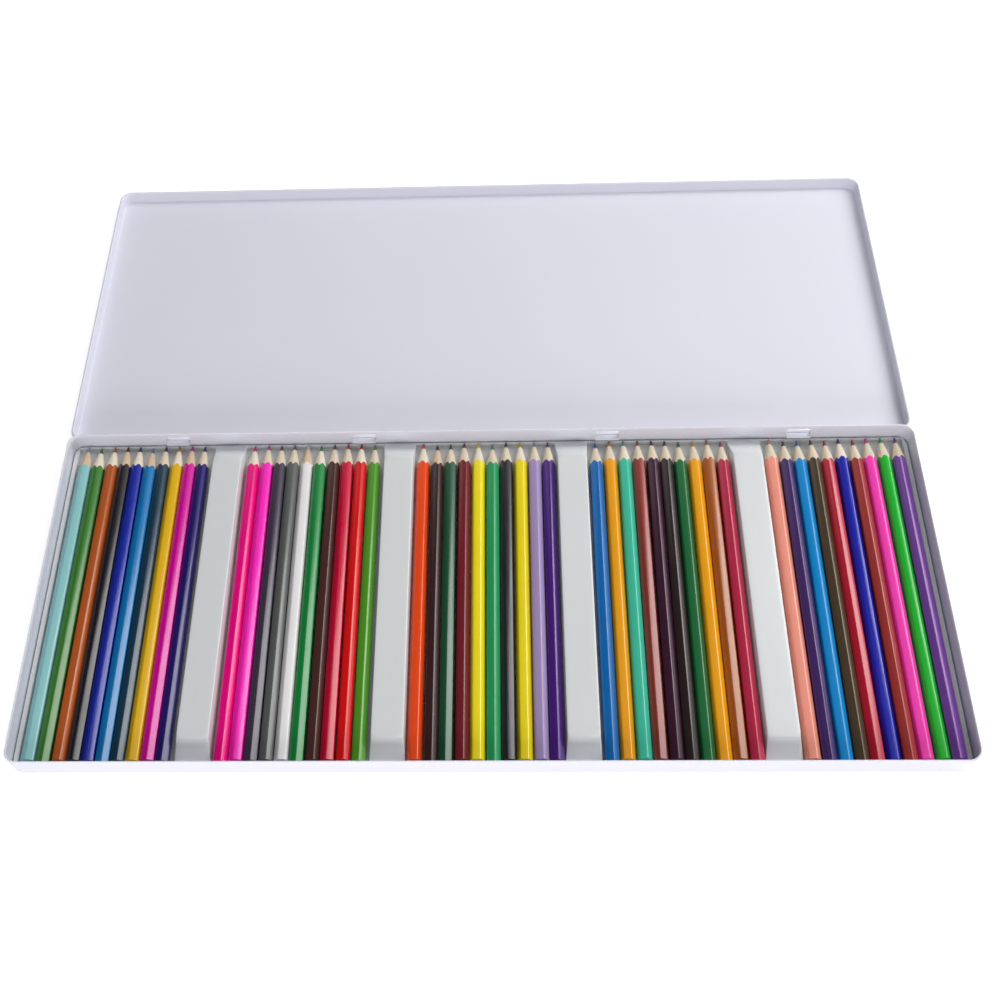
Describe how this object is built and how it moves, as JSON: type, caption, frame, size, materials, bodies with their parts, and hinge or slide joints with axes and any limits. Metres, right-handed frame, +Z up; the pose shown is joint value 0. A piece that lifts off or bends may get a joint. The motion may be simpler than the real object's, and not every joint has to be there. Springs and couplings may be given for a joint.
{
  "type": "hinged pencil tin",
  "caption": "Flat hinged sheet-metal tin, open with its lid behind it, with a formed plastic tray that holds rows of sharpened coloured pencils.",
  "frame": {"origin": "centre of the flat underside of the base", "axes": "+X along the tin, +Y from the front wall to the open lid, +Z up"},
  "size_m": [0.441, 0.3692, 0.014],
  "materials": {
    "enamel_white": "glossy white enamel on tinplate",
    "hinge_steel": "bright drawn steel wire",
    "tray_plastic": "glossy white vacuum-formed plastic sheet",
    "lacquer_pale_aqua": "glossy pale aqua lacquer over light wood, with a pale aqua core",
    "lacquer_leaf_green": "glossy leaf green lacquer over light wood, with a leaf green core",
    "lacquer_rust": "glossy rust lacquer over light wood, with a rust core",
    "lacquer_black": "glossy black lacquer over light wood, with a black core",
    "lacquer_deep_blue": "glossy deep blue lacquer over light wood, with a deep blue core",
    "lacquer_cerulean": "glossy cerulean lacquer over light wood, with a cerulean core",
    "lacquer_dark_teal": "glossy dark teal lacquer over light wood, with a dark teal core",
    "lacquer_golden_yellow": "glossy golden yellow lacquer over light wood, with a golden yellow core",
    "lacquer_magenta": "glossy magenta lacquer over light wood, with a magenta core",
    "lacquer_navy": "glossy navy lacquer over light wood, with a navy core",
    "lacquer_deep_pink": "glossy deep pink lacquer over light wood, with a deep pink core",
    "lacquer_bright_pink": "glossy bright pink lacquer over light wood, with a bright pink core",
    "lacquer_slate_violet": "glossy slate violet lacquer over light wood, with a slate violet core",
    "lacquer_grey": "glossy grey lacquer over light wood, with a grey core",
    "lacquer_white": "glossy white lacquer over light wood, with a white core",
    "lacquer_green": "glossy green lacquer over light wood, with a green core",
    "lacquer_dark_brown": "glossy dark brown lacquer over light wood, with a dark brown core",
    "lacquer_crimson": "glossy crimson lacquer over light wood, with a crimson core",
    "lacquer_red": "glossy red lacquer over light wood, with a red core",
    "lacquer_olive_green": "glossy olive green lacquer over light wood, with a olive green core",
    "lacquer_orange": "glossy orange lacquer over light wood, with a orange core",
    "lacquer_umber": "glossy umber lacquer over light wood, with a umber core",
    "lacquer_forest_green": "glossy forest green lacquer over light wood, with a forest green core",
    "lacquer_maroon": "glossy maroon lacquer over light wood, with a maroon core",
    "lacquer_bright_yellow": "glossy bright yellow lacquer over light wood, with a bright yellow core",
    "lacquer_emerald": "glossy emerald lacquer over light wood, with a emerald core",
    "lacquer_blue_black": "glossy blue black lacquer over light wood, with a blue black core",
    "lacquer_yellow": "glossy yellow lacquer over light wood, with a yellow core",
    "lacquer_lavender": "glossy lavender lacquer over light wood, with a lavender core",
    "lacquer_purple": "glossy purple lacquer over light wood, with a purple core",
    "lacquer_blue": "glossy blue lacquer over light wood, with a blue core",
    "lacquer_amber": "glossy amber lacquer over light wood, with a amber core",
    "lacquer_mint": "glossy mint lacquer over light wood, with a mint core",
    "lacquer_brick": "glossy brick lacquer over light wood, with a brick core",
    "lacquer_plum": "glossy plum lacquer over light wood, with a plum core",
    "lacquer_bistre": "glossy bistre lacquer over light wood, with a bistre core",
    "lacquer_dark_green": "glossy dark green lacquer over light wood, with a dark green core",
    "lacquer_marigold": "glossy marigold lacquer over light wood, with a marigold core",
    "lacquer_copper_brown": "glossy copper brown lacquer over light wood, with a copper brown core",
    "lacquer_carmine": "glossy carmine lacquer over light wood, with a carmine core",
    "lacquer_salmon": "glossy salmon lacquer over light wood, with a salmon core",
    "lacquer_dark_purple": "glossy dark purple lacquer over light wood, with a dark purple core",
    "lacquer_sky_blue": "glossy sky blue lacquer over light wood, with a sky blue core",
    "lacquer_olive_brown": "glossy olive brown lacquer over light wood, with a olive brown core",
    "lacquer_cherry": "glossy cherry lacquer over light wood, with a cherry core",
    "lacquer_royal_blue": "glossy royal blue lacquer over light wood, with a royal blue core",
    "lacquer_brown_red": "glossy brown red lacquer over light wood, with a brown red core",
    "lacquer_pink": "glossy pink lacquer over light wood, with a pink core",
    "lacquer_bright_green": "glossy bright green lacquer over light wood, with a bright green core",
    "lacquer_violet": "glossy violet lacquer over light wood, with a violet core"
  },
  "bodies": {
    "base": {"base_tin": "enamel_white"},
    "lid": {"lid_tin": "enamel_white", "hinge_wire": "hinge_steel"},
    "tray": {"pencil_tray": "tray_plastic"},
    "pencil_01_pale_aqua": {"pencil_01_pale_aqua": "lacquer_pale_aqua"},
    "pencil_02_leaf_green": {"pencil_02_leaf_green": "lacquer_leaf_green"},
    "pencil_03_rust": {"pencil_03_rust": "lacquer_rust"},
    "pencil_04_black": {"pencil_04_black": "lacquer_black"},
    "pencil_05_deep_blue": {"pencil_05_deep_blue": "lacquer_deep_blue"},
    "pencil_06_cerulean": {"pencil_06_cerulean": "lacquer_cerulean"},
    "pencil_07_dark_teal": {"pencil_07_dark_teal": "lacquer_dark_teal"},
    "pencil_08_golden_yellow": {"pencil_08_golden_yellow": "lacquer_golden_yellow"},
    "pencil_09_magenta": {"pencil_09_magenta": "lacquer_magenta"},
    "pencil_10_navy": {"pencil_10_navy": "lacquer_navy"},
    "pencil_11_deep_pink": {"pencil_11_deep_pink": "lacquer_deep_pink"},
    "pencil_12_bright_pink": {"pencil_12_bright_pink": "lacquer_bright_pink"},
    "pencil_13_slate_violet": {"pencil_13_slate_violet": "lacquer_slate_violet"},
    "pencil_14_grey": {"pencil_14_grey": "lacquer_grey"},
    "pencil_15_white": {"pencil_15_white": "lacquer_white"},
    "pencil_16_green": {"pencil_16_green": "lacquer_green"},
    "pencil_17_dark_brown": {"pencil_17_dark_brown": "lacquer_dark_brown"},
    "pencil_18_crimson": {"pencil_18_crimson": "lacquer_crimson"},
    "pencil_19_red": {"pencil_19_red": "lacquer_red"},
    "pencil_20_olive_green": {"pencil_20_olive_green": "lacquer_olive_green"},
    "pencil_21_orange": {"pencil_21_orange": "lacquer_orange"},
    "pencil_22_umber": {"pencil_22_umber": "lacquer_umber"},
    "pencil_23_forest_green": {"pencil_23_forest_green": "lacquer_forest_green"},
    "pencil_24_maroon": {"pencil_24_maroon": "lacquer_maroon"},
    "pencil_25_bright_yellow": {"pencil_25_bright_yellow": "lacquer_bright_yellow"},
    "pencil_26_emerald": {"pencil_26_emerald": "lacquer_emerald"},
    "pencil_27_blue_black": {"pencil_27_blue_black": "lacquer_blue_black"},
    "pencil_28_yellow": {"pencil_28_yellow": "lacquer_yellow"},
    "pencil_29_lavender": {"pencil_29_lavender": "lacquer_lavender"},
    "pencil_30_purple": {"pencil_30_purple": "lacquer_purple"},
    "pencil_31_blue": {"pencil_31_blue": "lacquer_blue"},
    "pencil_32_amber": {"pencil_32_amber": "lacquer_amber"},
    "pencil_33_mint": {"pencil_33_mint": "lacquer_mint"},
    "pencil_34_brick": {"pencil_34_brick": "lacquer_brick"},
    "pencil_35_plum": {"pencil_35_plum": "lacquer_plum"},
    "pencil_36_bistre": {"pencil_36_bistre": "lacquer_bistre"},
    "pencil_37_dark_green": {"pencil_37_dark_green": "lacquer_dark_green"},
    "pencil_38_marigold": {"pencil_38_marigold": "lacquer_marigold"},
    "pencil_39_copper_brown": {"pencil_39_copper_brown": "lacquer_copper_brown"},
    "pencil_40_carmine": {"pencil_40_carmine": "lacquer_carmine"},
    "pencil_41_salmon": {"pencil_41_salmon": "lacquer_salmon"},
    "pencil_42_dark_purple": {"pencil_42_dark_purple": "lacquer_dark_purple"},
    "pencil_43_sky_blue": {"pencil_43_sky_blue": "lacquer_sky_blue"},
    "pencil_44_olive_brown": {"pencil_44_olive_brown": "lacquer_olive_brown"},
    "pencil_45_cherry": {"pencil_45_cherry": "lacquer_cherry"},
    "pencil_46_royal_blue": {"pencil_46_royal_blue": "lacquer_royal_blue"},
    "pencil_47_brown_red": {"pencil_47_brown_red": "lacquer_brown_red"},
    "pencil_48_pink": {"pencil_48_pink": "lacquer_pink"},
    "pencil_49_bright_green": {"pencil_49_bright_green": "lacquer_bright_green"},
    "pencil_50_violet": {"pencil_50_violet": "lacquer_violet"}
  },
  "joints": [
    {"name": "lid_hinge", "type": "hinge", "parent": "base", "child": "lid", "pos_m": [0, 0.09238, 0.00828], "axis": [-1, 0, 0], "range_deg": [-180.61, 0]},
    {"name": "insert_lift", "type": "slide", "parent": "base", "child": "tray", "axis": [0, 0, 1], "range_m": [0, 0.03]},
    {"name": "pencil_01_lift", "type": "slide", "parent": "tray", "child": "pencil_01_pale_aqua", "axis": [0, 0, 1], "range_m": [0, 0.04]},
    {"name": "pencil_02_lift", "type": "slide", "parent": "tray", "child": "pencil_02_leaf_green", "axis": [0, 0, 1], "range_m": [0, 0.04]},
    {"name": "pencil_03_lift", "type": "slide", "parent": "tray", "child": "pencil_03_rust", "axis": [0, 0, 1], "range_m": [0, 0.04]},
    {"name": "pencil_04_lift", "type": "slide", "parent": "tray", "child": "pencil_04_black", "axis": [0, 0, 1], "range_m": [0, 0.04]},
    {"name": "pencil_05_lift", "type": "slide", "parent": "tray", "child": "pencil_05_deep_blue", "axis": [0, 0, 1], "range_m": [0, 0.04]},
    {"name": "pencil_06_lift", "type": "slide", "parent": "tray", "child": "pencil_06_cerulean", "axis": [0, 0, 1], "range_m": [0, 0.04]},
    {"name": "pencil_07_lift", "type": "slide", "parent": "tray", "child": "pencil_07_dark_teal", "axis": [0, 0, 1], "range_m": [0, 0.04]},
    {"name": "pencil_08_lift", "type": "slide", "parent": "tray", "child": "pencil_08_golden_yellow", "axis": [0, 0, 1], "range_m": [0, 0.04]},
    {"name": "pencil_09_lift", "type": "slide", "parent": "tray", "child": "pencil_09_magenta", "axis": [0, 0, 1], "range_m": [0, 0.04]},
    {"name": "pencil_10_lift", "type": "slide", "parent": "tray", "child": "pencil_10_navy", "axis": [0, 0, 1], "range_m": [0, 0.04]},
    {"name": "pencil_11_lift", "type": "slide", "parent": "tray", "child": "pencil_11_deep_pink", "axis": [0, 0, 1], "range_m": [0, 0.04]},
    {"name": "pencil_12_lift", "type": "slide", "parent": "tray", "child": "pencil_12_bright_pink", "axis": [0, 0, 1], "range_m": [0, 0.04]},
    {"name": "pencil_13_lift", "type": "slide", "parent": "tray", "child": "pencil_13_slate_violet", "axis": [0, 0, 1], "range_m": [0, 0.04]},
    {"name": "pencil_14_lift", "type": "slide", "parent": "tray", "child": "pencil_14_grey", "axis": [0, 0, 1], "range_m": [0, 0.04]},
    {"name": "pencil_15_lift", "type": "slide", "parent": "tray", "child": "pencil_15_white", "axis": [0, 0, 1], "range_m": [0, 0.04]},
    {"name": "pencil_16_lift", "type": "slide", "parent": "tray", "child": "pencil_16_green", "axis": [0, 0, 1], "range_m": [0, 0.04]},
    {"name": "pencil_17_lift", "type": "slide", "parent": "tray", "child": "pencil_17_dark_brown", "axis": [0, 0, 1], "range_m": [0, 0.04]},
    {"name": "pencil_18_lift", "type": "slide", "parent": "tray", "child": "pencil_18_crimson", "axis": [0, 0, 1], "range_m": [0, 0.04]},
    {"name": "pencil_19_lift", "type": "slide", "parent": "tray", "child": "pencil_19_red", "axis": [0, 0, 1], "range_m": [0, 0.04]},
    {"name": "pencil_20_lift", "type": "slide", "parent": "tray", "child": "pencil_20_olive_green", "axis": [0, 0, 1], "range_m": [0, 0.04]},
    {"name": "pencil_21_lift", "type": "slide", "parent": "tray", "child": "pencil_21_orange", "axis": [0, 0, 1], "range_m": [0, 0.04]},
    {"name": "pencil_22_lift", "type": "slide", "parent": "tray", "child": "pencil_22_umber", "axis": [0, 0, 1], "range_m": [0, 0.04]},
    {"name": "pencil_23_lift", "type": "slide", "parent": "tray", "child": "pencil_23_forest_green", "axis": [0, 0, 1], "range_m": [0, 0.04]},
    {"name": "pencil_24_lift", "type": "slide", "parent": "tray", "child": "pencil_24_maroon", "axis": [0, 0, 1], "range_m": [0, 0.04]},
    {"name": "pencil_25_lift", "type": "slide", "parent": "tray", "child": "pencil_25_bright_yellow", "axis": [0, 0, 1], "range_m": [0, 0.04]},
    {"name": "pencil_26_lift", "type": "slide", "parent": "tray", "child": "pencil_26_emerald", "axis": [0, 0, 1], "range_m": [0, 0.04]},
    {"name": "pencil_27_lift", "type": "slide", "parent": "tray", "child": "pencil_27_blue_black", "axis": [0, 0, 1], "range_m": [0, 0.04]},
    {"name": "pencil_28_lift", "type": "slide", "parent": "tray", "child": "pencil_28_yellow", "axis": [0, 0, 1], "range_m": [0, 0.04]},
    {"name": "pencil_29_lift", "type": "slide", "parent": "tray", "child": "pencil_29_lavender", "axis": [0, 0, 1], "range_m": [0, 0.04]},
    {"name": "pencil_30_lift", "type": "slide", "parent": "tray", "child": "pencil_30_purple", "axis": [0, 0, 1], "range_m": [0, 0.04]},
    {"name": "pencil_31_lift", "type": "slide", "parent": "tray", "child": "pencil_31_blue", "axis": [0, 0, 1], "range_m": [0, 0.04]},
    {"name": "pencil_32_lift", "type": "slide", "parent": "tray", "child": "pencil_32_amber", "axis": [0, 0, 1], "range_m": [0, 0.04]},
    {"name": "pencil_33_lift", "type": "slide", "parent": "tray", "child": "pencil_33_mint", "axis": [0, 0, 1], "range_m": [0, 0.04]},
    {"name": "pencil_34_lift", "type": "slide", "parent": "tray", "child": "pencil_34_brick", "axis": [0, 0, 1], "range_m": [0, 0.04]},
    {"name": "pencil_35_lift", "type": "slide", "parent": "tray", "child": "pencil_35_plum", "axis": [0, 0, 1], "range_m": [0, 0.04]},
    {"name": "pencil_36_lift", "type": "slide", "parent": "tray", "child": "pencil_36_bistre", "axis": [0, 0, 1], "range_m": [0, 0.04]},
    {"name": "pencil_37_lift", "type": "slide", "parent": "tray", "child": "pencil_37_dark_green", "axis": [0, 0, 1], "range_m": [0, 0.04]},
    {"name": "pencil_38_lift", "type": "slide", "parent": "tray", "child": "pencil_38_marigold", "axis": [0, 0, 1], "range_m": [0, 0.04]},
    {"name": "pencil_39_lift", "type": "slide", "parent": "tray", "child": "pencil_39_copper_brown", "axis": [0, 0, 1], "range_m": [0, 0.04]},
    {"name": "pencil_40_lift", "type": "slide", "parent": "tray", "child": "pencil_40_carmine", "axis": [0, 0, 1], "range_m": [0, 0.04]},
    {"name": "pencil_41_lift", "type": "slide", "parent": "tray", "child": "pencil_41_salmon", "axis": [0, 0, 1], "range_m": [0, 0.04]},
    {"name": "pencil_42_lift", "type": "slide", "parent": "tray", "child": "pencil_42_dark_purple", "axis": [0, 0, 1], "range_m": [0, 0.04]},
    {"name": "pencil_43_lift", "type": "slide", "parent": "tray", "child": "pencil_43_sky_blue", "axis": [0, 0, 1], "range_m": [0, 0.04]},
    {"name": "pencil_44_lift", "type": "slide", "parent": "tray", "child": "pencil_44_olive_brown", "axis": [0, 0, 1], "range_m": [0, 0.04]},
    {"name": "pencil_45_lift", "type": "slide", "parent": "tray", "child": "pencil_45_cherry", "axis": [0, 0, 1], "range_m": [0, 0.04]},
    {"name": "pencil_46_lift", "type": "slide", "parent": "tray", "child": "pencil_46_royal_blue", "axis": [0, 0, 1], "range_m": [0, 0.04]},
    {"name": "pencil_47_lift", "type": "slide", "parent": "tray", "child": "pencil_47_brown_red", "axis": [0, 0, 1], "range_m": [0, 0.04]},
    {"name": "pencil_48_lift", "type": "slide", "parent": "tray", "child": "pencil_48_pink", "axis": [0, 0, 1], "range_m": [0, 0.04]},
    {"name": "pencil_49_lift", "type": "slide", "parent": "tray", "child": "pencil_49_bright_green", "axis": [0, 0, 1], "range_m": [0, 0.04]},
    {"name": "pencil_50_lift", "type": "slide", "parent": "tray", "child": "pencil_50_violet", "axis": [0, 0, 1], "range_m": [0, 0.04]}
  ]
}
